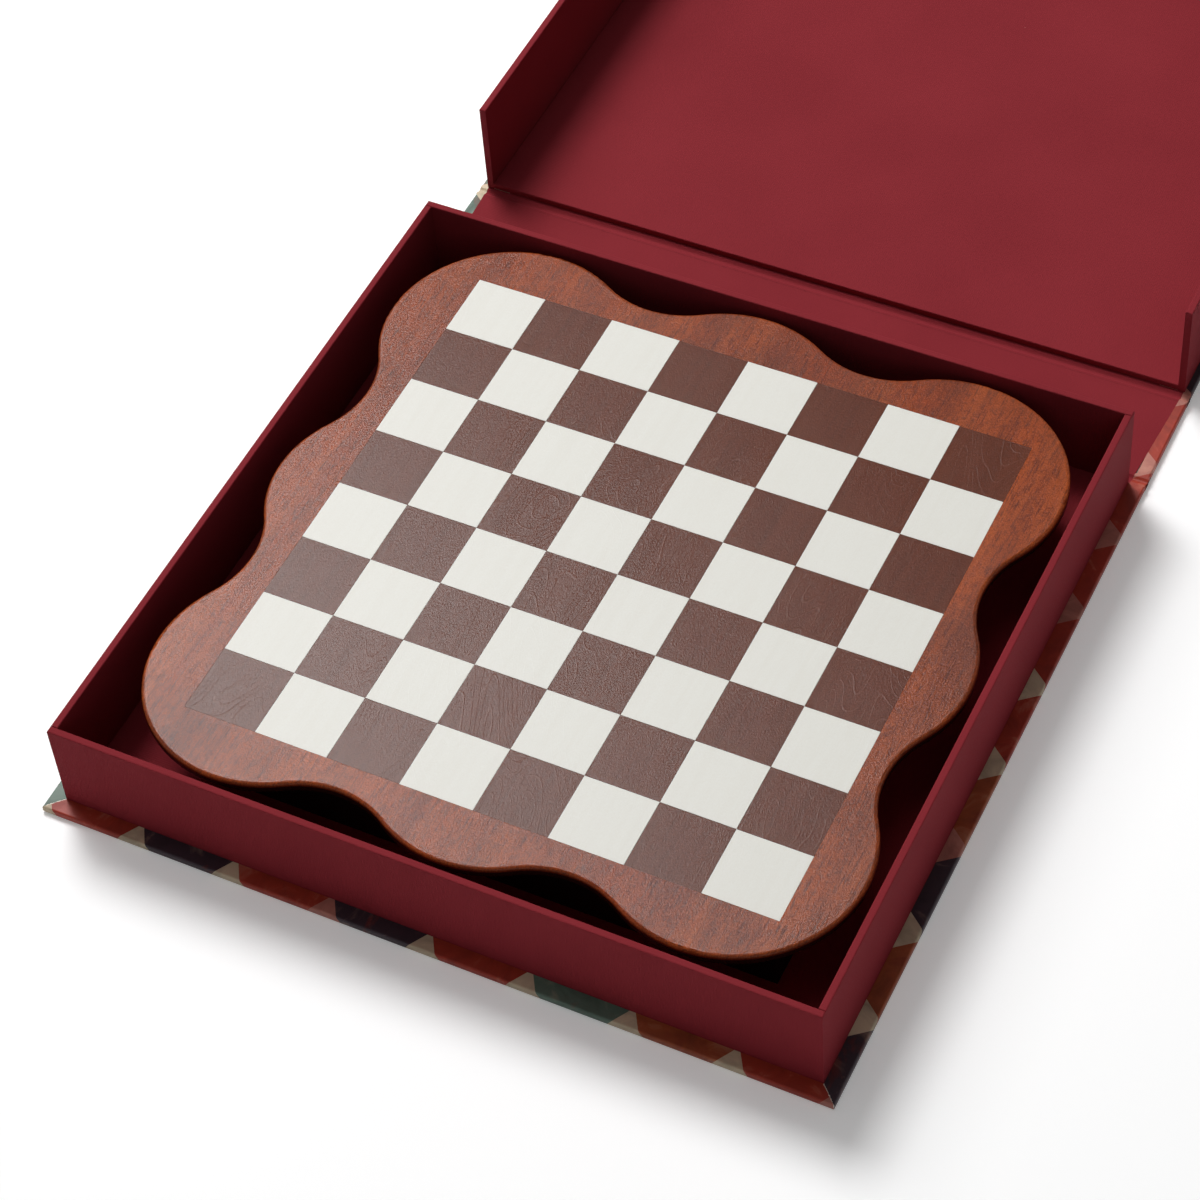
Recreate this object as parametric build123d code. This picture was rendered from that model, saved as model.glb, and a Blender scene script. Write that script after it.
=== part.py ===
from build123d import *
import math
import os

# Chess board: eight squares a side, with a wavy rim
SQUARE = 31.0
SQUARES = 8
FIELD = SQUARE * SQUARES
BOARD_T = 5.2
BOARD_EDGE_R = 1.6
INLAY_T = 0.4
INLAY_GAP = 0.12
CORNER_LOBE_AT = 96.5
CORNER_LOBE_R = 52.6
MIDDLE_LOBE_AT = 98.2
MIDDLE_LOBE_R = 51.4
TROUGH_R = 40.9
OUTLINE_SHIFT_X = -2.0
BOARD_SHIFT_X = 4.8
BOARD_SHIFT_Y = 0.7

# Cover: three stiff boards in printed paper, joined by two paper grooves
GREYBOARD_T = 2.5
PAPER_T = 0.4
COVER_T = GREYBOARD_T + 2 * PAPER_T
TURN_IN = 14.0
SPINE_TURN_IN = 5.5
COVER_MARGIN = 7.0
COVER_ROUND = 0.8
GROOVE = 4.0
SPINE_WIDTH = 46.4

# Base tray, which stands on the bottom board
TRAY_X = 320.0
TRAY_Y = 313.0
TRAY_H = 43.0
WALL_T = 3.0
TRAY_FLOOR_T = 2.5
RIM_ROUND = 0.5
TRAY_TO_GROOVE = 1.0

# Lid tray, which drops over the base tray
LID_CLEAR = 1.0
LID_TRAY_H = 46.5
LID_PANEL_T = 3.0
LID_TRAY_Y = 317.0

# Insert that carries the board and holds the men
INSERT_X = 247.0
INSERT_Y = 253.0
INSERT_FLOOR_T = 2.0
INSERT_WALL_T = 3.0
BOARD_BELOW_RIM = 3.1
PAD_T = 1.0
DIVIDER_T = 1.5
DIVIDER_H = 20.0
ROWS = 8
PAD_GAP = 0.5
BED_GAP = 0.3

# The men: base radius and height of each kind
SIZES = {
    "king": (12.5, 64.0),
    "queen": (12.0, 58.0),
    "bishop": (11.0, 52.0),
    "knight": (11.0, 46.0),
    "rook": (11.0, 42.0),
    "pawn": (9.5, 36.0),
}
OFFICERS = [
    "king",
    "queen",
    "bishop",
    "knight",
    "rook",
    "rook",
    "knight",
    "bishop",
]
OFFICER_INSET = 6.0
PAWN_INSET = 8.0

# Heights and stations that follow from the sizes above
LINING_Z = COVER_T
TRAY_RIM_Z = LINING_Z + TRAY_H
TRAY_FLOOR_TOP = LINING_Z + TRAY_FLOOR_T
BOARD_TOP_Z = TRAY_RIM_Z - BOARD_BELOW_RIM
BOARD_UNDER_Z = BOARD_TOP_Z - BOARD_T
BED_Z = TRAY_FLOOR_TOP + INSERT_FLOOR_T + PAD_T
BACK_Y = TRAY_Y / 2
FRONT_Y = -TRAY_Y / 2
BASE_END_Y = BACK_Y + TRAY_TO_GROOVE
COVER_X = TRAY_X + 2 * COVER_MARGIN
COVER_FRONT_Y = FRONT_Y - COVER_MARGIN
SPINE_Y = BASE_END_Y + GROOVE
LID_GROOVE_Y = SPINE_Y + SPINE_WIDTH
LID_Y = LID_GROOVE_Y + GROOVE
LID_END_Y = LID_Y + BASE_END_Y - COVER_FRONT_Y
LID_TRAY_EDGE_Y = LID_Y + TRAY_TO_GROOVE
LID_INNER_X = TRAY_X + 2 * LID_CLEAR
LID_OUTER_X = LID_INNER_X + 2 * WALL_T


def block(x0, x1, y0, y1, z0, z1):
    """A plain box between two corners."""
    size = Box(x1 - x0, y1 - y0, z1 - z0)
    return Pos((x0 + x1) / 2, (y0 + y1) / 2, (z0 + z1) / 2) * size


def rounded_plate(x0, x1, y0, y1, z0, z1, radius):
    """A box whose long upper and lower edges are softened."""
    plate = block(x0, x1, y0, y1, z0, z1)
    edges = plate.edges().filter_by(Axis.Z, reverse=True)
    return fillet(edges, radius)


def wrapped_cover(y0, y1, closed_front, closed_back):
    """Printed paper: under the stiff board, round its edges and turned in."""
    half = COVER_X / 2
    side_turn = TURN_IN if closed_front or closed_back else SPINE_TURN_IN
    body = block(-half, half, y0, y1, 0, COVER_T)
    outer = body.edges().filter_by(Axis.Y)
    if closed_front:
        outer += body.edges().filter_by(Axis.X).group_by(Axis.Y)[0]
    if closed_back:
        outer += body.edges().filter_by(Axis.X).group_by(Axis.Y)[-1]
    body = fillet(outer, COVER_ROUND)
    front_in = PAPER_T if closed_front else 0
    back_in = PAPER_T if closed_back else 0
    core = block(
        -half + PAPER_T, half - PAPER_T, y0 + front_in, y1 - back_in, PAPER_T, PAPER_T + GREYBOARD_T
    )
    front_turn = TURN_IN if closed_front else 0
    back_turn = TURN_IN if closed_back else 0
    window = block(
        -half + side_turn,
        half - side_turn,
        y0 + front_turn,
        y1 - back_turn,
        PAPER_T + GREYBOARD_T,
        COVER_T,
    )
    return body - core - window


def stiff_board(y0, y1, closed_front, closed_back):
    """Greyboard that fills the wrapped cover."""
    half = COVER_X / 2 - PAPER_T
    front_in = PAPER_T if closed_front else 0
    back_in = PAPER_T if closed_back else 0
    return block(-half, half, y0 + front_in, y1 - back_in, PAPER_T, PAPER_T + GREYBOARD_T)


def pastedown(y0, y1, closed_front, closed_back):
    """Lining sheet that fills the window between the turned-in edges."""
    side_turn = TURN_IN if closed_front or closed_back else SPINE_TURN_IN
    half = COVER_X / 2 - side_turn
    front_turn = TURN_IN if closed_front else 0
    back_turn = TURN_IN if closed_back else 0
    return block(-half, half, y0 + front_turn, y1 - back_turn, PAPER_T + GREYBOARD_T, COVER_T)


def groove_strip(y0):
    """Paper and lining that bend between two stiff boards."""
    half = COVER_X / 2
    return block(-half, half, y0, y0 + GROOVE, 0, 2 * PAPER_T)


def wall(x0, x1, y0, y1, z0, z1):
    """Upright wall of a tray with a softened rim."""
    upright = block(x0, x1, y0, y1, z0, z1)
    rim = upright.edges().group_by(Axis.Z)[-1]
    return fillet(rim, RIM_ROUND)


def base_tray():
    """Floor and four walls of the lower tray."""
    hx = TRAY_X / 2
    hy = TRAY_Y / 2
    ix = hx - WALL_T
    iy = hy - WALL_T
    return {
        "tray_floor": block(-ix, ix, -iy, iy, LINING_Z, TRAY_FLOOR_TOP),
        "tray_front_wall": wall(-hx, hx, -hy, -iy, LINING_Z, TRAY_RIM_Z),
        "tray_back_wall": wall(-hx, hx, iy, hy, LINING_Z, TRAY_RIM_Z),
        "tray_left_wall": wall(-hx, -ix, -iy, iy, LINING_Z, TRAY_RIM_Z),
        "tray_right_wall": wall(ix, hx, -iy, iy, LINING_Z, TRAY_RIM_Z),
    }


def lid_tray():
    """Panel and three walls of the upper tray, open at the spine."""
    hx = LID_OUTER_X / 2
    ix = LID_INNER_X / 2
    y0 = LID_TRAY_EDGE_Y
    y1 = y0 + LID_TRAY_Y
    y_in = y1 - WALL_T
    rim = LINING_Z + LID_TRAY_H
    return {
        "lid_panel": rounded_plate(
            -ix, ix, y0, y_in, LINING_Z, LINING_Z + LID_PANEL_T, RIM_ROUND
        ),
        "lid_left_wall": wall(-hx, -ix, y0, y_in, LINING_Z, rim),
        "lid_right_wall": wall(ix, hx, y0, y_in, LINING_Z, rim),
        "lid_front_wall": wall(-hx, hx, y_in, y1, LINING_Z, rim),
    }


def insert_walls():
    """Four walls of the insert, each a straight board."""
    hx = INSERT_X / 2
    hy = INSERT_Y / 2
    t = INSERT_WALL_T
    z0 = TRAY_FLOOR_TOP
    z1 = BOARD_UNDER_Z
    return Compound(
        [
            block(-hx, hx, -hy, -hy + t, z0, z1),
            block(-hx, hx, hy - t, hy, z0, z1),
            block(-hx, -hx + t, -hy + t, hy - t, z0, z1),
            block(hx - t, hx, -hy + t, hy - t, z0, z1),
        ]
    )


def compartment(side):
    """Left and right ends in X of the compartment on one side."""
    inner = INSERT_WALL_T / 2
    outer = INSERT_X / 2 - INSERT_WALL_T
    ends = sorted((side * inner, side * outer))
    return ends[0], ends[1]


def row_pitch():
    """Distance between the rows of men."""
    return (INSERT_Y - 2 * INSERT_WALL_T) / ROWS


def row_y(row):
    """Middle of one row."""
    return -INSERT_Y / 2 + INSERT_WALL_T + (row + 0.5) * row_pitch()


def insert_parts():
    """Floor, walls, centre wall, felt pads and row dividers."""
    hx = INSERT_X / 2 - INSERT_WALL_T
    hy = INSERT_Y / 2 - INSERT_WALL_T
    z0 = TRAY_FLOOR_TOP
    floor_top = z0 + INSERT_FLOOR_T
    centre = INSERT_WALL_T / 2
    parts = {
        "insert_floor": block(-hx, hx, -hy, hy, z0, floor_top),
        "insert_walls": insert_walls(),
        "insert_centre_wall": block(-centre, centre, -hy, hy, floor_top, BOARD_UNDER_Z),
    }
    pads = []
    dividers = []
    for side in (-1, 1):
        x0, x1 = compartment(side)
        for row in range(ROWS):
            y_mid = row_y(row)
            half = row_pitch() / 2 - DIVIDER_T / 2
            pads.append(
                block(x0 + PAD_GAP, x1 - PAD_GAP, y_mid - half, y_mid + half, floor_top, BED_Z)
            )
            if row:
                y_div = y_mid - row_pitch() / 2
                low = y_div - DIVIDER_T / 2
                high = y_div + DIVIDER_T / 2
                dividers.append(block(x0, x1, low, high, floor_top, floor_top + DIVIDER_H))
    parts["felt_pads"] = Compound(pads)
    parts["row_dividers"] = Compound(dividers)
    return parts


def trough_centre():
    """Centre of the hollow arc that touches a corner lobe and a middle lobe."""
    to_corner = CORNER_LOBE_R + TROUGH_R
    to_middle = MIDDLE_LOBE_R + TROUGH_R
    dx = CORNER_LOBE_AT
    dy = CORNER_LOBE_AT - MIDDLE_LOBE_AT
    span = math.hypot(dx, dy)
    along = (to_middle**2 - to_corner**2 + span**2) / (2 * span)
    off = math.sqrt(to_middle**2 - along**2)
    x = (along * dx - off * dy) / span
    y = MIDDLE_LOBE_AT + (along * dy + off * dx) / span
    return x, y


def wavy_face():
    """Outline of the board: twelve lobes and hollows repeated round four sides."""
    tx, ty = trough_centre()
    lean = math.degrees(math.atan2(ty - MIDDLE_LOBE_AT, tx))
    turn = math.degrees(math.atan2(ty - CORNER_LOBE_AT, tx - CORNER_LOBE_AT))
    edges = []
    for quarter in range(4):
        spin = Rot(0, 0, 90 * quarter)
        middle = CenterArc((0, MIDDLE_LOBE_AT), MIDDLE_LOBE_R, lean, 180 - 2 * lean)
        corner = CenterArc((CORNER_LOBE_AT, CORNER_LOBE_AT), CORNER_LOBE_R, 90 - turn, 2 * turn - 90)
        right = CenterArc((tx, ty), TROUGH_R, lean + 180, turn - lean)
        left = CenterArc((-tx, ty), TROUGH_R, -turn, turn - lean)
        edges += [spin * part for part in (middle, corner, right, left)]
    return make_face(edges)


def chess_board():
    """Wooden board with a shallow recess for the squares."""
    body = extrude(wavy_face(), BOARD_T)
    rim = body.edges().group_by(Axis.Z)[-1] + body.edges().group_by(Axis.Z)[0]
    body = fillet(rim, BOARD_EDGE_R)
    body = Pos(OUTLINE_SHIFT_X, 0, 0) * body
    recess = block(-FIELD / 2, FIELD / 2, -FIELD / 2, FIELD / 2, BOARD_T - INLAY_T, BOARD_T)
    return Pos(0, 0, BOARD_UNDER_Z) * (body - recess)


def squares(parity):
    """The thirty-two squares of one colour."""
    side = SQUARE - INLAY_GAP
    tiles = []
    for column in range(SQUARES):
        for row in range(SQUARES):
            if (column + row) % 2 != parity:
                continue
            x = (column + 0.5) * SQUARE - FIELD / 2
            y = (row + 0.5) * SQUARE - FIELD / 2
            z = BOARD_TOP_Z - INLAY_T / 2
            tiles.append(Pos(x, y, z) * Box(side, side, INLAY_T))
    return Compound(tiles)


def turned(points):
    """Solid turned about Z from its radius and height pairs."""
    line = Polyline([(r, 0, z) for r, z in points], close=True)
    return revolve(make_face(line), Axis.Z)


def stem(r, h, top):
    """Rounded foot, concave stem and collar of a man, up to a share of its height."""
    neck = 0.42 * r
    collar = top - 0.06
    base = Polyline((0, 0, 0), (0.96 * r, 0, 0), (r, 0, 0.02 * h), (r, 0, 0.055 * h))
    step = ThreePointArc((r, 0, 0.055 * h), (0.94 * r, 0, 0.09 * h), (0.8 * r, 0, 0.105 * h))
    lip = Polyline((0.8 * r, 0, 0.105 * h), (0.8 * r, 0, 0.125 * h), (0.72 * r, 0, 0.135 * h))
    mid = (0.135 + collar) / 2
    sweep = Spline(
        (0.72 * r, 0, 0.135 * h),
        (0.53 * r, 0, (0.135 + mid) / 2 * h),
        (0.45 * r, 0, mid * h),
        (neck, 0, collar * h),
    )
    ring = ThreePointArc(
        (neck, 0, collar * h), (0.66 * r, 0, (top - 0.025) * h), (0.5 * r, 0, top * h)
    )
    close = Polyline((0.5 * r, 0, top * h), (0, 0, top * h), (0, 0, 0))
    edges = base.edges() + step.edges() + lip.edges() + sweep.edges() + ring.edges()
    return revolve(make_face(edges + close.edges()), Axis.Z)


def pawn(r, h):
    """Pawn: stem and ball."""
    ball = 0.56 * r
    return stem(r, h, 0.74) + Pos(0, 0, h - ball) * Sphere(ball)


def rook(r, h):
    """Rook: stem and notched tower."""
    tower = turned(
        [(0, 0.7 * h), (0.5 * r, 0.7 * h), (0.7 * r, 0.8 * h), (0.7 * r, h), (0, h)]
    )
    well = Pos(0, 0, 0.97 * h) * Cylinder(0.45 * r, 0.12 * h)
    body = stem(r, h, 0.72) + tower - well
    for angle in (0, 60, 120):
        notch = Rot(0, 0, angle) * Pos(0, 0, 0.97 * h) * Box(2 * r, 0.24 * r, 0.09 * h)
        body = body - notch
    return body


def bishop(r, h):
    """Bishop: stem, pointed head with a slanted cut, and a bead."""
    head = turned(
        [
            (0, 0.66 * h),
            (0.3 * r, 0.66 * h),
            (0.52 * r, 0.73 * h),
            (0.5 * r, 0.81 * h),
            (0.3 * r, 0.9 * h),
            (0.12 * r, 0.95 * h),
            (0, 0.955 * h),
        ]
    )
    bead = Pos(0, 0, 0.965 * h) * Sphere(0.035 * h)
    cut = Pos(0.42 * r, 0, 0.86 * h) * Rot(0, 38, 0) * Box(0.5 * r, 2 * r, 0.1 * r)
    return stem(r, h, 0.68) + (head - cut) + bead


def queen(r, h):
    """Queen: stem, flared crown with scallops, and a ball."""
    crown = turned(
        [
            (0, 0.7 * h),
            (0.36 * r, 0.7 * h),
            (0.62 * r, 0.92 * h),
            (0.5 * r, 0.93 * h),
            (0.2 * r, 0.9 * h),
            (0, 0.94 * h),
        ]
    )
    for k in range(8):
        scallop = Rot(0, 0, 45 * k) * Pos(0.62 * r, 0, 0.94 * h) * Sphere(0.11 * r)
        crown = crown - scallop
    return stem(r, h, 0.72) + crown + Pos(0, 0, 0.955 * h) * Sphere(0.045 * h)


def king(r, h):
    """King: stem, domed crown and a cross."""
    crown = turned(
        [
            (0, 0.68 * h),
            (0.36 * r, 0.68 * h),
            (0.6 * r, 0.84 * h),
            (0.5 * r, 0.87 * h),
            (0, 0.9 * h),
        ]
    )
    arm = 0.16 * r
    upright = Pos(0, 0, 0.93 * h) * Box(arm, arm, 0.14 * h)
    bar = Pos(0, 0, 0.945 * h) * Box(arm, 0.5 * r, arm)
    return stem(r, h, 0.7) + crown + upright + bar


def knight(r, h):
    """Knight: stem and a horse's head cut from a thick slab."""
    outline = [
        (-0.55, 0.40),
        (-0.72, 0.62),
        (-0.60, 0.84),
        (-0.28, 0.97),
        (-0.12, 1.0),
        (-0.02, 0.93),
        (0.30, 0.86),
        (0.72, 0.71),
        (0.74, 0.63),
        (0.52, 0.60),
        (0.18, 0.67),
        (0.30, 0.52),
        (0.52, 0.40),
    ]
    slab = 0.62 * r
    line = Polyline([(x * r, 0, z * h) for x, z in outline], close=True)
    head = extrude(make_face(line), slab / 2, dir=(0, 1, 0), both=True)
    head = chamfer(head.edges().filter_by(Axis.Y, reverse=True), 0.12 * r)
    return stem(r, h, 0.42) + head


MAKERS = {
    "king": king,
    "queen": queen,
    "bishop": bishop,
    "knight": knight,
    "rook": rook,
    "pawn": pawn,
}


def laid_down(kind, x_foot, y, facing):
    """A man on its side with its foot at x_foot, pointing along X."""
    r, h = SIZES[kind]
    man = MAKERS[kind](r, h)
    return Pos(x_foot, y, BED_Z + r + BED_GAP) * Rot(0, 90 * facing, 0) * man


def men(side, colour):
    """Sixteen men of one colour, an officer and a pawn in each row."""
    x0, x1 = compartment(side)
    outer = x0 if side < 0 else x1
    inner = x1 if side < 0 else x0
    count = {}
    parts = {}
    for row, kind in enumerate(OFFICERS):
        y = row_y(row)
        count[kind] = count.get(kind, 0) + 1
        label = kind if kind in ("king", "queen") else f"{kind}_{count[kind]}"
        x_officer = outer - side * OFFICER_INSET
        x_pawn = inner + side * PAWN_INSET
        parts[f"{colour}_{label}"] = laid_down(kind, x_officer, y, -side)
        parts[f"{colour}_pawn_{row + 1}"] = laid_down("pawn", x_pawn, y, side)
    return parts


def cover_parts():
    """The three cover boards with their papers, and the two grooves."""
    parts = {
        "base_board": stiff_board(COVER_FRONT_Y, BASE_END_Y, True, False),
        "base_cover_paper": wrapped_cover(COVER_FRONT_Y, BASE_END_Y, True, False),
        "base_pastedown": pastedown(COVER_FRONT_Y, BASE_END_Y, True, False),
        "base_groove": groove_strip(BASE_END_Y),
        "spine_board": stiff_board(SPINE_Y, LID_GROOVE_Y, False, False),
        "spine_cover_paper": wrapped_cover(SPINE_Y, LID_GROOVE_Y, False, False),
        "spine_lining": pastedown(SPINE_Y, LID_GROOVE_Y, False, False),
        "lid_groove": groove_strip(LID_GROOVE_Y),
        "lid_board": stiff_board(LID_Y, LID_END_Y, False, True),
        "lid_cover_paper": wrapped_cover(LID_Y, LID_END_Y, False, True),
        "lid_pastedown": pastedown(LID_Y, LID_END_Y, False, True),
    }
    return parts


def chess_set():
    """Every node of the set by its name."""
    parts = cover_parts()
    parts.update(base_tray())
    parts.update(lid_tray())
    contents = insert_parts()
    contents["chess_board"] = chess_board()
    contents["dark_squares"] = squares(0)
    contents["light_squares"] = squares(1)
    contents.update(men(-1, "light"))
    contents.update(men(1, "dark"))
    place = Pos(BOARD_SHIFT_X, BOARD_SHIFT_Y, 0)
    for name, shape in contents.items():
        parts[name] = place * shape
    return parts


os.makedirs("parts", exist_ok=True)
for node, shape in chess_set().items():
    export_step(shape, f"parts/{node}.step")
    print(node)
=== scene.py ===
import math

import bpy
from mathutils import Matrix, Vector


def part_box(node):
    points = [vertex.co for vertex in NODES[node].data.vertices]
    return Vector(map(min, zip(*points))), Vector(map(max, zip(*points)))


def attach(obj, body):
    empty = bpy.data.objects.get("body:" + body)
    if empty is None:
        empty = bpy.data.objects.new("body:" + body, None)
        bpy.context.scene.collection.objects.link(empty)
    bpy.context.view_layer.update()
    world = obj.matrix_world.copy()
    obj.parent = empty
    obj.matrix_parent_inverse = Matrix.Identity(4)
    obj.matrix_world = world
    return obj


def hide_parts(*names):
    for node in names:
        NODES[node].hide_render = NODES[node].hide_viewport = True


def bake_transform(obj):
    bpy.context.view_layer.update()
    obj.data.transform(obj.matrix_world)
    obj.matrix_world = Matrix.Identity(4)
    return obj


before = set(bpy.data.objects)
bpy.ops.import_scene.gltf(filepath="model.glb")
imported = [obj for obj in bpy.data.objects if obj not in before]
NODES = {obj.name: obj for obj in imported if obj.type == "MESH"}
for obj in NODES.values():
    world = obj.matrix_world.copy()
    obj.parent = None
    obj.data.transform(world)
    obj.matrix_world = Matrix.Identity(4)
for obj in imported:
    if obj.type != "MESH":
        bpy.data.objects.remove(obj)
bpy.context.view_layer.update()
MM = 0.001

# Side of one square of the board
SQUARE = 31 * MM

# Sizes read from the frame, in metres
SQUARES = ("light_squares", "dark_squares")
FIELD_LOW = Vector(min(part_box(n)[0][k] for n in SQUARES) for k in range(3))
FIELD_HIGH = Vector(max(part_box(n)[1][k] for n in SQUARES) for k in range(3))
FIELD_MID = (FIELD_LOW + FIELD_HIGH) / 2
BOARD_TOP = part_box("chess_board")[1].z
TRAY_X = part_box("tray_right_wall")[1].x
COVER_LOW, COVER_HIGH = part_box("base_cover_paper")
LID_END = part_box("lid_cover_paper")[1].y
BASE_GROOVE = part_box("base_groove")
LID_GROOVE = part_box("lid_groove")
COVER_X = COVER_HIGH.x
COVER_T = COVER_HIGH.z
COVER_MID_Y = (COVER_LOW.y + LID_END) / 2
COVER_HALF_Y = LID_END - COVER_MID_Y
MARGIN = COVER_X - TRAY_X

# Camera solved from the grid of squares, in squares from the middle of the field
CAMERA_AT = Vector((13.7148, -24.3640, 32.9344))
CAMERA_RIGHT = Vector((0.89855697, 0.43484891, -0.05917607))
CAMERA_DOWN = Vector((0.30052143, -0.70796169, -0.63912215))
CAMERA_AHEAD = Vector((-0.31981596, 0.55650398, -0.76682532))
CAMERA_LENS = 103.07
SENSOR = 36.0
NEAREST = 0.05
FARTHEST = 50.0

# Studio: name, place, size in metres and watts of each lamp
LAMPS = (
    ("key", (-1.44, 1.46, 2.75), 1.3, 76.0),
    ("side", (-2.13, 1.28, 2.37), 1.5, 32.0),
    ("top", (-0.5, 0.3, 2.6), 2.0, 8.0),
    ("front", (1.3, -2.2, 1.4), 1.6, 4.4),
)
LAMP_AIM = Vector((0.0, 0.1, 0.0))
FLOOR = 6.0
FLOOR_WHITE = 0.95
FLOOR_GLOW = 0.2
SKY_LIGHT = 0.1
SKY_OVERHEAD = 0.1
SKY_WHITE_BELOW = 0.25
SKY_DIM_ABOVE = 0.6

# Sheets at the creases: thickness of the cover paper and of a thin lining, how far a lining
# stands above the boards, and how far the turned-in paper lies under it
PAPER = 0.4 * MM
THIN = 0.06 * MM
PROUD = 0.05 * MM
UNDER_LINING = 0.03 * MM

# Fall of a sheet past the edge of a board into a groove: distance and drop, in mm
FALL = ((-1.0, 0.0), (-0.2, 0.0), (0.2, 0.05), (0.5, 0.2), (0.9, 0.5), (1.3, 0.76), (1.6, 0.86))
GROOVE_DIP = 0.9 * MM
GROOVE_STEPS = 8

# Burgundy lining: how far it reaches past the tray, and how much it widens towards the lid
LINING_PAST_TRAY = 0.6 * MM
LINING_WIDENS = 3.0 * MM
SPINE_LINING_GAP = 0.9 * MM

# Paper and card colours, in sRGB 0 to 255
BURGUNDY = (134, 40, 48)
BURGUNDY_DEEP = (127, 36, 44)
BURGUNDY_FIBRE = (146, 56, 60)
LINT = (178, 108, 104)
CARD = ((16, 11, 12), (30, 22, 23))
FELT = ((58, 16, 22), (80, 24, 32))
GREYBOARD = ((150, 140, 128), (182, 172, 160))

# Print colours
SAGE = (96, 120, 106)
RUST = (170, 54, 34)
AMBER = (168, 82, 44)
PLUM = (56, 40, 50)
CREAM = (214, 196, 166)
ROSE = (190, 122, 108)
PAPER_WHITE = (232, 224, 210)
BLEED = (136, 44, 30)
WASH_DEEP = (128, 104, 100)
WASH_PALE = (226, 190, 160)

# Patchwork of the print: width and height of a triangle, width and height of the side border,
# and where its first row starts
PITCH = 42 * MM
RISE = 34 * MM
BORDER = 20 * MM
BORDER_RISE = 26 * MM
FIRST_ROW = 0.64
BORDER_START = 0.98
SCUFF = 0.5 * MM

# Board wood colours
WOOD = ((146, 60, 22), (178, 84, 36))
WOOD_RING = (98, 44, 28)
WOOD_STREAK = (86, 40, 27)
WOOD_CLOUD = (84, 42, 33)
WOOD_FLECK = (74, 36, 26)
WOOD_PORE = (62, 30, 22)
WOOD_PIT = (78, 34, 20)
WOOD_CREST = (192, 98, 58)
# Painted shade for the board's side
PAINTED_SIDE_SHADE = (40, 19, 14)

# Depth below the board's top over which painted shade darkens its side
SIDE_FROM = 0.8 * MM
SIDE_TO = 1.9 * MM

# Paint of the squares: tone, low grain and raised grain
DARK_PAINT = ((104, 56, 40), (70, 38, 28), (128, 84, 70))
LIGHT_PAINT = ((231, 230, 223), (224, 221, 212), (236, 235, 229))

# Wood of the men: pale tone, deep tone and pores
PALE_WOOD = ((214, 176, 124), (186, 144, 94), (140, 100, 60))
DEEP_WOOD = ((104, 58, 38), (70, 36, 24), (40, 20, 14))

# Noise and wave scales, in turns per metre
THREAD_PITCH = 0.9 * MM
THREAD_WOBBLE = 260.0
FIBRES = 900.0
LINT_CELLS = 45.0
PORES = 1500.0
STREAKS = 260.0
BANDS = 34.0
CLOUDS = 12.0
PEBBLES = 1850.0

# How much a grain is drawn out along the wood
ALONG_GRAIN = 0.06


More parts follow.
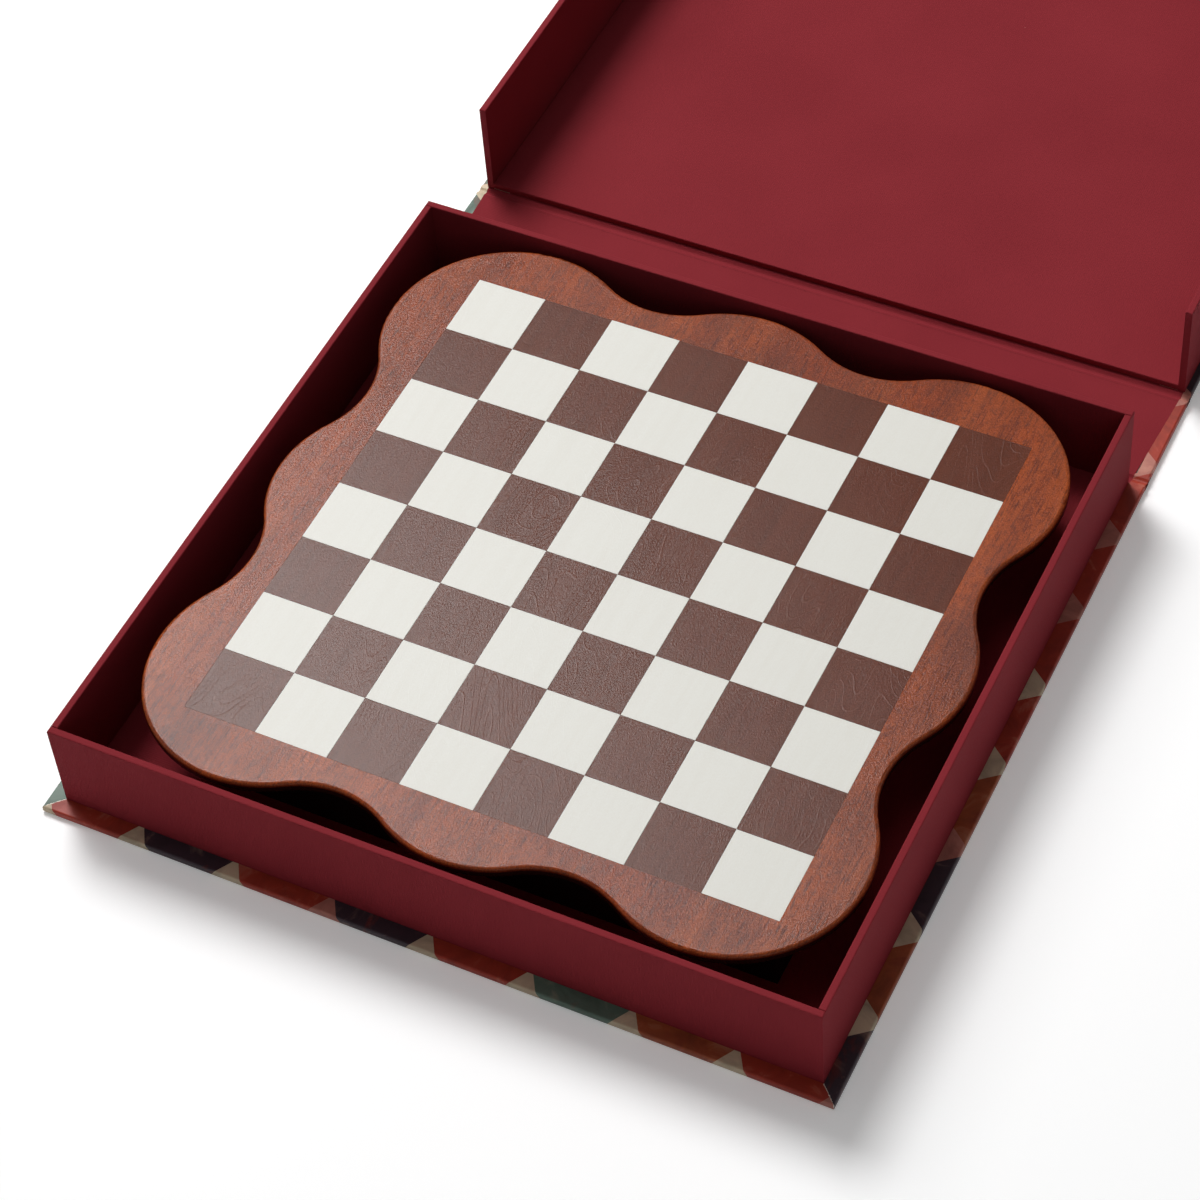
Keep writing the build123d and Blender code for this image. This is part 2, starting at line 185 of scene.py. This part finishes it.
class Nodes:
    """Small helper that writes a material's node tree, or adds to a given one."""

    def __init__(self, name, tree=None):
        self.tree = tree
        if tree:
            return
        self.material = bpy.data.materials.new(name)
        self.material.use_nodes = True
        self.tree = self.material.node_tree
        self.tree.nodes.clear()
        self.out = self.tree.nodes.new("ShaderNodeOutputMaterial")
        self.coord = self.tree.nodes.new("ShaderNodeTexCoord").outputs["Object"]

    def put(self, socket, value):
        if isinstance(value, bpy.types.NodeSocket):
            self.tree.links.new(value, socket)
        elif value is not None:
            socket.default_value = value

    def node(self, kind, out=0, **inputs):
        made = self.tree.nodes.new(kind)
        for key, value in inputs.items():
            if key.startswith("_"):
                setattr(made, key[1:], value)
            elif key[0] == "i" and key[1:].isdigit():
                self.put(made.inputs[int(key[1:])], value)
            else:
                self.put(made.inputs[key], value)
        return made.outputs[out]

    def math(self, operation, a, b=None, c=None):
        made = self.tree.nodes.new("ShaderNodeMath")
        made.operation = operation
        for k, value in enumerate((a, b, c)):
            if value is not None:
                self.put(made.inputs[k], value)
        return made.outputs[0]

    def axes(self, source=None):
        made = self.tree.nodes.new("ShaderNodeSeparateXYZ")
        self.put(made.inputs[0], source or self.coord)
        return made.outputs[0], made.outputs[1], made.outputs[2]

    def vector(self, x, y, z):
        return self.node("ShaderNodeCombineXYZ", i0=x, i1=y, i2=z)

    def scaled(self, x, y, z, source=None, offset=(0.0, 0.0, 0.0)):
        made = self.tree.nodes.new("ShaderNodeMapping")
        self.put(made.inputs["Vector"], source or self.coord)
        made.inputs["Scale"].default_value = (x, y, z)
        made.inputs["Location"].default_value = offset
        return made.outputs[0]

    def noise(self, vector, scale, detail=4.0, rough=0.55, distortion=0.0):
        made = self.tree.nodes.new("ShaderNodeTexNoise")
        self.put(made.inputs["Vector"], vector)
        made.inputs["Scale"].default_value = scale
        made.inputs["Detail"].default_value = detail
        made.inputs["Roughness"].default_value = rough
        made.inputs["Distortion"].default_value = distortion
        return made.outputs[0]

    def wave(self, vector, scale, direction, distortion=0.0, detail=2.0, detail_scale=1.0):
        made = self.tree.nodes.new("ShaderNodeTexWave")
        made.bands_direction = direction
        made.wave_profile = "SIN"
        self.put(made.inputs["Vector"], vector)
        made.inputs["Scale"].default_value = scale
        made.inputs["Distortion"].default_value = distortion
        made.inputs["Detail"].default_value = detail
        made.inputs["Detail Scale"].default_value = detail_scale
        return made.outputs["Fac"]

    def steps(self, value, stops):
        """Colour that changes in steps as the value rises."""
        made = self.tree.nodes.new("ShaderNodeValToRGB")
        made.color_ramp.interpolation = "CONSTANT"
        elements = made.color_ramp.elements
        while len(elements) < len(stops):
            elements.new(0.5)
        for element, (at, colour) in zip(elements, stops):
            element.position = at
            element.color = shade(colour)
        self.put(made.inputs[0], value)
        return made.outputs[0]

    def span(self, value, low, high, to_low=0.0, to_high=1.0):
        made = self.tree.nodes.new("ShaderNodeMapRange")
        for key, number in (("From Min", low), ("From Max", high), ("To Min", to_low), ("To Max", to_high)):
            self.put(made.inputs[key], number)
        self.put(made.inputs["Value"], value)
        return made.outputs[0]

    def mix(self, share, a, b, blend="MIX"):
        made = self.tree.nodes.new("ShaderNodeMix")
        made.data_type = "RGBA"
        made.blend_type = blend
        self.put(made.inputs["Factor"], share)
        self.put(made.inputs["A"], shade(a))
        self.put(made.inputs["B"], shade(b))
        return made.outputs["Result"]

    def blend(self, share, a, b):
        """Number between a and b."""
        return self.math("ADD", self.math("MULTIPLY", self.math("SUBTRACT", b, a), share), a)

    def bump(self, height, strength, distance):
        made = self.tree.nodes.new("ShaderNodeBump")
        made.inputs["Strength"].default_value = strength
        made.inputs["Distance"].default_value = distance
        self.put(made.inputs["Height"], height)
        return made.outputs[0]

    def finish(self, colour, rough, normal=None, **inputs):
        shader = self.tree.nodes.new("ShaderNodeBsdfPrincipled")
        self.put(shader.inputs["Base Color"], shade(colour))
        self.put(shader.inputs["Roughness"], rough)
        self.put(shader.inputs["Normal"], normal)
        for key, value in inputs.items():
            shader.inputs[key.replace("_", " ")].default_value = value
        self.tree.links.new(shader.outputs[0], self.out.inputs[0])
        return self.material


def shade(value):
    """An sRGB 0-255 triple as a linear colour; anything else as it is."""
    if isinstance(value, tuple) and len(value) == 3:
        linear = []
        for level in value:
            c = level / 255
            linear.append(c / 12.92 if c <= 0.04045 else ((c + 0.055) / 1.055) ** 2.4)
        return (*linear, 1.0)
    return value


def weave(n, pitch):
    """Height of a fine crossed thread pattern that shows on faces of every direction."""
    turn = 2 * math.pi / pitch
    wobble = n.noise(n.coord, THREAD_WOBBLE, 2.0)
    total = None
    for axis in n.axes():
        phase = n.math("MULTIPLY_ADD", axis, turn, n.math("MULTIPLY", wobble, 2.6))
        ridge = n.math("SINE", phase)
        total = ridge if total is None else n.math("ADD", total, ridge)
    return total


def burgundy_paper():
    """Linen-grain burgundy paper with a few specks of lint."""
    n = Nodes("burgundy_paper")
    threads = weave(n, THREAD_PITCH)
    cloud = n.noise(n.coord, 14.0, 3.0)
    speck = n.noise(n.coord, FIBRES, 2.0)
    base = n.mix(n.span(cloud, 0.35, 0.65), BURGUNDY_DEEP, BURGUNDY)
    grained = n.mix(n.span(speck, 0.3, 0.75, 0.0, 0.22), base, BURGUNDY_FIBRE)
    cells = n.tree.nodes.new("ShaderNodeTexVoronoi")
    n.put(cells.inputs["Vector"], n.coord)
    cells.inputs["Scale"].default_value = LINT_CELLS
    rare = n.math("GREATER_THAN", n.axes(cells.outputs["Color"])[0], 0.9)
    dot = n.math("LESS_THAN", cells.outputs["Distance"], 0.012)
    grained = n.mix(n.math("MULTIPLY", rare, dot), grained, LINT)
    height = n.math("ADD", n.math("MULTIPLY", threads, 0.35), n.math("MULTIPLY", speck, 0.9))
    normal = n.bump(height, 0.3, 0.1 * MM)
    rough = n.span(speck, 0.3, 0.7, 0.7, 0.85)
    return n.finish(grained, rough, normal, Specular_IOR_Level=0.07)


def black_card():
    """Matt black card of the insert."""
    n = Nodes("black_card")
    fibre = n.noise(n.coord, 700.0, 3.0)
    colour = n.mix(n.span(fibre, 0.3, 0.7), *CARD)
    return n.finish(colour, 0.85, n.bump(fibre, 0.25, 0.08 * MM), Specular_IOR_Level=0.2)


def felt():
    """Short burgundy felt."""
    n = Nodes("felt")
    fibre = n.noise(n.coord, 1400.0, 5.0, 0.7)
    cloud = n.noise(n.coord, 60.0, 3.0)
    colour = n.mix(n.span(cloud, 0.3, 0.7), *FELT)
    return n.finish(colour, 0.95, n.bump(fibre, 0.6, 0.25 * MM), Sheen_Weight=0.4)


def greyboard():
    """Raw grey board inside the cover, hidden by its paper."""
    n = Nodes("greyboard")
    fibre = n.noise(n.scaled(300, 300, 2000), 1.0, 4.0)
    colour = n.mix(n.span(fibre, 0.3, 0.7), *GREYBOARD)
    return n.finish(colour, 0.9, n.bump(fibre, 0.3, 0.1 * MM))


def grain(n, source, along, figure=1.0, seed=0.0):
    """Pores, streaks, growth bands and cloudy figure of wood whose grain runs along one axis."""
    squeeze = [1.0, 1.0, 1.0]
    squeeze["XYZ".index(along)] = ALONG_GRAIN
    offset = (seed, seed * 1.7, seed * 0.6)
    bent = n.scaled(*squeeze, source=source, offset=offset)
    pores = n.noise(bent, PORES, 3.0, 0.6)
    streaks = n.noise(bent, STREAKS, 5.0, 0.62, 0.3)
    bands = n.noise(bent, BANDS * figure, 3.0, 0.55, 1.2)
    cloud = n.noise(n.scaled(1, 1, 1, source=source, offset=offset), CLOUDS, 2.0)
    return pores, streaks, bands, cloud


def board_wood():
    """Orange-brown satin wood of the board, grain front to back, with painted shade darkening its side."""
    n = Nodes("board_wood")
    pores, streaks, bands, cloud = grain(n, n.coord, "Y")
    flecks = n.noise(n.scaled(1, 0.45, 1), 820.0, 3.0, 0.6)
    ring = n.wave(n.scaled(1, 0.05, 1), 9.0, "X", 9.0, 3.0, 1.4)
    base = n.mix(n.span(bands, 0.3, 0.7), *WOOD)
    base = n.mix(n.span(ring, 0.3, 0.95, 0.0, 0.25), base, WOOD_RING)
    base = n.mix(n.span(streaks, 0.48, 0.72, 0.0, 0.4), base, WOOD_STREAK)
    base = n.mix(n.span(cloud, 0.5, 0.75, 0.0, 0.6), base, WOOD_CLOUD)
    base = n.mix(n.span(flecks, 0.48, 0.68, 0.0, 0.5), base, WOOD_FLECK)
    base = n.mix(n.span(pores, 0.52, 0.66, 0.0, 0.6), base, WOOD_PORE)
    pebble = n.noise(n.scaled(1, 0.55, 1), PEBBLES, 3.0, 0.65)
    base = n.mix(n.span(pebble, 0.42, 0.62, 0.0, 0.4), base, WOOD_PIT)
    base = n.mix(n.span(pebble, 0.44, 0.32, 0.0, 0.3), base, WOOD_CREST)
    # Painted shade: below its top the board's side turns dark
    top = n.span(n.axes()[2], BOARD_TOP - SIDE_TO, BOARD_TOP - SIDE_FROM)
    base = n.mix(top, PAINTED_SIDE_SHADE, base)
    height = n.math("ADD", n.math("MULTIPLY", pebble, -1.6), n.math("MULTIPLY", streaks, -0.6))
    height = n.math("ADD", height, n.math("MULTIPLY", flecks, -0.5))
    normal = n.bump(height, 0.7, 0.12 * MM)
    rough = n.span(streaks, 0.3, 0.7, 0.16, 0.22)
    return n.finish(base, rough, normal, Specular_IOR_Level=0.16)


def painted_square(name, paint, relief, rough):
    """Paint over open-grained wood: pits and a few raised grain lines still show."""
    n = Nodes(name)
    tone, low, high = paint
    _, streaks, _, cloud = grain(n, n.coord, "Y", 1.3, 0.3)
    flecks = n.noise(n.scaled(1, 0.5, 1), 760.0, 3.0, 0.6)
    warped = n.noise(n.scaled(1, 0.3, 1), 17.0, 2.0, 0.5, 0.6)
    figure = n.wave(n.vector(warped, 0.0, 0.0), 16.0, "X", 0.6, 2.0)
    near = n.math("MULTIPLY", n.span(figure, 0.955, 1.0), n.span(cloud, 0.42, 0.6))
    colour = n.mix(n.span(streaks, 0.42, 0.75, 0.0, 0.4), tone, low)
    colour = n.mix(n.span(flecks, 0.52, 0.75, 0.0, 0.3), colour, low)
    colour = n.mix(n.math("MULTIPLY", near, 0.28), colour, high)
    pebble = n.noise(n.scaled(1, 0.55, 1), PEBBLES, 3.0, 0.65)
    colour = n.mix(n.span(pebble, 0.42, 0.62, 0.0, 0.35), colour, low)
    height = n.math("ADD", n.math("MULTIPLY", streaks, -0.5), n.math("MULTIPLY", near, 0.5))
    height = n.math("ADD", height, n.math("MULTIPLY", flecks, -0.3))
    height = n.math("ADD", height, n.math("MULTIPLY", pebble, -1.4))
    normal = n.bump(height, relief, 0.1 * MM)
    return n.finish(colour, rough, normal, Specular_IOR_Level=0.125)


def turned_wood(name, wood):
    """Varnished wood of the men, grain along their length."""
    n = Nodes(name)
    pale, deep, pore = wood
    pores, streaks, bands, _ = grain(n, n.coord, "X", 3.0, 0.9)
    base = n.mix(n.span(bands, 0.3, 0.7), deep, pale)
    base = n.mix(n.span(streaks, 0.45, 0.75, 0.0, 0.4), base, deep)
    base = n.mix(n.span(pores, 0.56, 0.7, 0.0, 0.35), base, pore)
    normal = n.bump(streaks, 0.25, 0.08 * MM)
    rough = n.span(streaks, 0.3, 0.7, 0.3, 0.45)
    return n.finish(base, rough, normal, Coat_Weight=0.4, Coat_Roughness=0.25)


def printed_paper():
    """Plain patchwork of triangles in watercolour tones, with a border along the side edges."""
    n = Nodes("printed_paper")
    x, y, z = n.axes()
    below = n.math("SUBTRACT", COVER_T, z)
    across_x = n.math("ABSOLUTE", x)
    from_mid = n.math("ABSOLUTE", n.math("SUBTRACT", y, COVER_MID_Y))
    near_side = n.span(across_x, COVER_X - BORDER, COVER_X)
    to_side = n.math("SUBTRACT", COVER_X + COVER_T, n.math("MULTIPLY_ADD", below, near_side, across_x))
    to_end = n.math("SUBTRACT", COVER_HALF_Y + COVER_T, n.math("ADD", from_mid, below))
    v = n.math("ADD", n.math("DIVIDE", to_end, RISE), FIRST_ROW)
    row = n.math("FLOOR", v)
    shift = n.math("MULTIPLY", n.math("MODULO", n.math("ABSOLUTE", row), 2.0), 0.5)
    side = n.math("LESS_THAN", to_side, n.math("MINIMUM", to_end, BORDER))
    u_main = n.math("ADD", n.math("DIVIDE", x, PITCH), shift)
    u_side = n.math("DIVIDE", y, PITCH)
    u = n.blend(side, u_main, u_side)
    share_side = n.math("SUBTRACT", BORDER_START, n.math("DIVIDE", to_side, BORDER_RISE))
    share = n.blend(side, n.math("FRACT", v), share_side)
    band = n.blend(side, row, n.math("MULTIPLY_ADD", n.math("SIGN", x), 7.0, 40.0))
    centred = n.math("MULTIPLY", n.math("ABSOLUTE", n.math("SUBTRACT", n.math("FRACT", u), 0.5)), 2.0)
    inside = n.math("LESS_THAN", centred, share)
    pick_main = n.node("ShaderNodeTexWhiteNoise", Vector=n.vector(n.math("FLOOR", u), band, 3.0))
    next_u = n.math("FLOOR", n.math("ADD", u, 0.5))
    pick_gap = n.node("ShaderNodeTexWhiteNoise", Vector=n.vector(next_u, band, 9.0))
    main = n.steps(pick_main, [(0.0, SAGE), (0.24, RUST), (0.56, AMBER), (0.78, PLUM)])
    gap = n.steps(pick_gap, [(0.0, CREAM), (0.74, ROSE)])
    tone = n.mix(inside, gap, main)
    wash = n.noise(n.coord, 70.0, 4.0, 0.62, 0.8)
    bleed = n.noise(n.scaled(1, 1, 1, offset=(0.4, 0.1, 0.0)), 46.0, 3.0, 0.6, 1.4)
    tone = n.mix(n.math("MULTIPLY", inside, n.span(bleed, 0.56, 0.66, 0.0, 0.45)), tone, BLEED)
    tone = n.mix(n.span(wash, 0.4, 0.72, 0.0, 0.5), tone, WASH_DEEP, "MULTIPLY")
    tone = n.mix(n.span(wash, 0.44, 0.28, 0.0, 0.2), tone, WASH_PALE)
    over_x = n.math("SUBTRACT", across_x, COVER_X - MARGIN)
    over_y = n.math("SUBTRACT", from_mid, COVER_HALF_Y - MARGIN)
    off_fold = n.math("ABSOLUTE", n.math("SUBTRACT", over_x, over_y))
    ragged = n.noise(n.coord, FIBRES, 3.0, 0.7)
    on_fold = n.math("LESS_THAN", off_fold, n.span(ragged, 0.42, 0.7, 0.0, SCUFF))
    in_corner = n.math("GREATER_THAN", n.math("MINIMUM", over_x, over_y), 0.0)
    tone = n.mix(n.math("MULTIPLY", on_fold, in_corner), tone, PAPER_WHITE)
    speck = n.noise(n.coord, 1300.0, 2.0)
    normal = n.bump(speck, 0.2, 0.06 * MM)
    return n.finish(tone, n.span(wash, 0.3, 0.7, 0.42, 0.55), normal, Specular_IOR_Level=0.35)


def dress(names, material):
    """Gives CAD nodes a material in every slot."""
    for name in names:
        mesh = NODES[name].data
        mesh.materials.clear()
        mesh.materials.append(material)


def seen_by(n):
    """Whether a ray is a camera ray, and whether it is a glossy or transmission ray."""
    path = n.tree.nodes.new("ShaderNodeLightPath")
    glossy = n.math("MAXIMUM", path.outputs["Is Glossy Ray"], path.outputs["Is Transmission Ray"])
    return path.outputs["Is Camera Ray"], glossy


def floor_material():
    """White sweep, lifted for the camera and for reflections, so the object keeps plain light."""
    n = Nodes("studio_floor")
    diffuse = n.tree.nodes.new("ShaderNodeBsdfDiffuse")
    diffuse.inputs["Color"].default_value = (FLOOR_WHITE, FLOOR_WHITE, FLOOR_WHITE, 1.0)
    glow = n.tree.nodes.new("ShaderNodeEmission")
    glow.inputs["Color"].default_value = (1.0, 1.0, 1.0, 1.0)
    camera, glossy = seen_by(n)
    n.put(glow.inputs["Strength"], n.math("MULTIPLY", n.math("MAXIMUM", camera, glossy), FLOOR_GLOW))
    both = n.tree.nodes.new("ShaderNodeAddShader")
    n.tree.links.new(diffuse.outputs[0], both.inputs[0])
    n.tree.links.new(glow.outputs[0], both.inputs[1])
    n.tree.links.new(both.outputs[0], n.out.inputs[0])
    return n.material


def studio_floor():
    """Large plain floor that isn't part of the object."""
    mesh = bpy.data.meshes.new("studio_floor")
    corners = [(-FLOOR, -FLOOR, 0), (FLOOR, -FLOOR, 0), (FLOOR, FLOOR, 0), (-FLOOR, FLOOR, 0)]
    mesh.from_pydata(corners, [], [(0, 1, 2, 3)])
    floor = bpy.data.objects.new("studio_floor", mesh)
    bpy.context.scene.collection.objects.link(floor)
    mesh.materials.append(floor_material())


def lamps():
    """Two soft keys from the back left, weak fills from above and the front."""
    for name, at, size, watts in LAMPS:
        lamp = bpy.data.lights.new(name, "AREA")
        lamp.shape = "DISK"
        lamp.size = size
        lamp.energy = watts
        holder = bpy.data.objects.new(name, lamp)
        holder.location = at
        aim = LAMP_AIM - Vector(at)
        holder.rotation_mode = "QUATERNION"
        holder.rotation_quaternion = aim.to_track_quat("-Z", "Y")
        bpy.context.scene.collection.objects.link(holder)


def sky():
    """White to the camera; for reflections white low down and dim overhead; weak as light."""
    world = bpy.data.worlds.new("studio")
    bpy.context.scene.world = world
    world.use_nodes = True
    n = Nodes("studio", world.node_tree)
    background = n.tree.nodes["Background"]
    background.inputs["Color"].default_value = (1.0, 1.0, 1.0, 1.0)
    camera, glossy = seen_by(n)
    way = n.tree.nodes.new("ShaderNodeTexCoord").outputs["Generated"]
    overhead = n.span(n.axes(way)[2], SKY_WHITE_BELOW, SKY_DIM_ABOVE, 1.0, SKY_OVERHEAD)
    level = n.blend(glossy, SKY_LIGHT, overhead)
    level = n.blend(camera, level, 1.0)
    n.tree.links.new(level, background.inputs["Strength"])


def camera_view():
    """Camera of the photograph."""
    data = bpy.data.cameras.new("camera")
    data.sensor_width = SENSOR
    data.lens = CAMERA_LENS
    data.clip_start = NEAREST
    data.clip_end = FARTHEST
    camera = bpy.data.objects.new("camera", data)
    bpy.context.scene.collection.objects.link(camera)
    middle = Vector((FIELD_MID.x, FIELD_MID.y, BOARD_TOP))
    turn = Matrix((CAMERA_RIGHT, -CAMERA_DOWN, -CAMERA_AHEAD)).transposed().to_4x4()
    camera.matrix_world = Matrix.Translation(middle + CAMERA_AT * SQUARE) @ turn
    bpy.context.scene.camera = camera
    bpy.context.scene.view_settings.view_transform = "Standard"


def swept_sheet(name, profile, half_at, depth, material):
    """Thin sheet swept across the cover; profile is its top line in y and z."""
    rows = []
    for y, z in profile:
        half = half_at(y)
        rows.append([(-half, y, z), (half, y, z), (half, y, z - depth), (-half, y, z - depth)])
    points = [p for row in rows for p in row]
    faces = []
    for k in range(len(rows) - 1):
        a = 4 * k
        for i in range(4):
            j = (i + 1) % 4
            faces.append((a + i, a + j, a + 4 + j, a + 4 + i))
    last = 4 * (len(rows) - 1)
    faces += [(3, 2, 1, 0), (last, last + 1, last + 2, last + 3)]
    mesh = bpy.data.meshes.new(name)
    mesh.from_pydata(points, [], faces)
    mesh.update()
    mesh.materials.append(material)
    made = bpy.data.objects.new(name, mesh)
    bpy.context.scene.collection.objects.link(made)
    return made


def lining_half(y):
    """Half width of the burgundy lining, which widens a little towards the lid."""
    near = BASE_GROOVE[0].y
    far = LID_GROOVE[1].y
    return TRAY_X + LINING_PAST_TRAY + LINING_WIDENS * (y - near) / (far - near)


def crease_profile(groove):
    """Line of a sheet pressed into the groove between two boards."""
    front = groove[0].y
    back = groove[1].y
    top = COVER_T + PROUD
    line = [(front + past * MM, top - drop * MM) for past, drop in FALL]
    rise = [(back - past * MM, top - drop * MM) for past, drop in reversed(FALL)]
    return [*line, ((front + back) / 2, top - GROOVE_DIP), *rise]


def crease(groove, name, paper, burgundy):
    """Sheets of one groove, each in two halves that meet at the groove's middle."""
    front = groove[0].y
    back = groove[1].y
    middle = (front + back) / 2
    slack = 0.001 * MM
    inner = crease_profile(groove)
    outer = [(front + (back - front) * k / GROOVE_STEPS, PAPER) for k in range(GROOVE_STEPS + 1)]
    made = []
    for label, line, half_at, lift, depth, material in (
        ("outside", outer, lambda y: COVER_X, 0.0, PAPER, paper),
        ("turn_in", inner, lambda y: COVER_X, -UNDER_LINING, THIN, paper),
        ("lining", inner, lining_half, 0.0, THIN, burgundy),
    ):
        line = [(y, z + lift) for y, z in line]
        near = [p for p in line if p[0] <= middle + slack]
        far = [p for p in line if p[0] >= middle - slack]
        first = swept_sheet(f"{name}_{label}_front", near, half_at, depth, material)
        second = swept_sheet(f"{name}_{label}_back", far, half_at, depth, material)
        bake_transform(first)
        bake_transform(second)
        made += [first, second]
    for piece in made:
        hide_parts(name)


def spine_sheet(burgundy):
    """Lining sheet on the spine between its two grooves."""
    near = BASE_GROOVE[1].y + SPINE_LINING_GAP
    far = LID_GROOVE[0].y - SPINE_LINING_GAP
    top = COVER_T + PROUD
    line = [(near, top), (far, top)]
    sheet = swept_sheet("spine_lining_sheet", line, lining_half, PAPER, burgundy)
    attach(sheet, "spine")
    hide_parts("spine_lining")


def materials():
    """Every material on its CAD nodes."""
    burgundy = burgundy_paper()
    paper = printed_paper()
    card = black_card()
    dress(
        [
            "tray_floor",
            "tray_front_wall",
            "tray_back_wall",
            "tray_left_wall",
            "tray_right_wall",
            "lid_panel",
            "lid_left_wall",
            "lid_right_wall",
            "lid_front_wall",
            "base_pastedown",
            "spine_lining",
            "lid_pastedown",
        ],
        burgundy,
    )
    dress(["base_cover_paper", "spine_cover_paper", "lid_cover_paper"], paper)
    dress(["base_groove", "lid_groove"], paper)
    crease(BASE_GROOVE, "base_groove", paper, burgundy)
    crease(LID_GROOVE, "lid_groove", paper, burgundy)
    spine_sheet(burgundy)
    dress(["base_board", "spine_board", "lid_board"], greyboard())
    dress(["insert_floor", "insert_walls", "insert_centre_wall", "row_dividers"], card)
    dress(["felt_pads"], felt())
    dress(["chess_board"], board_wood())
    dress(["dark_squares"], painted_square("dark_paint", DARK_PAINT, 0.65, 0.2))
    dress(["light_squares"], painted_square("light_paint", LIGHT_PAINT, 0.3, 0.34))
    light_men = [n for n in NODES if n.startswith("light_") and n != "light_squares"]
    dark_men = [n for n in NODES if n.startswith("dark_") and n != "dark_squares"]
    dress(light_men, turned_wood("pale_wood", PALE_WOOD))
    dress(dark_men, turned_wood("deep_wood", DEEP_WOOD))


materials()
studio_floor()
lamps()
sky()
camera_view()
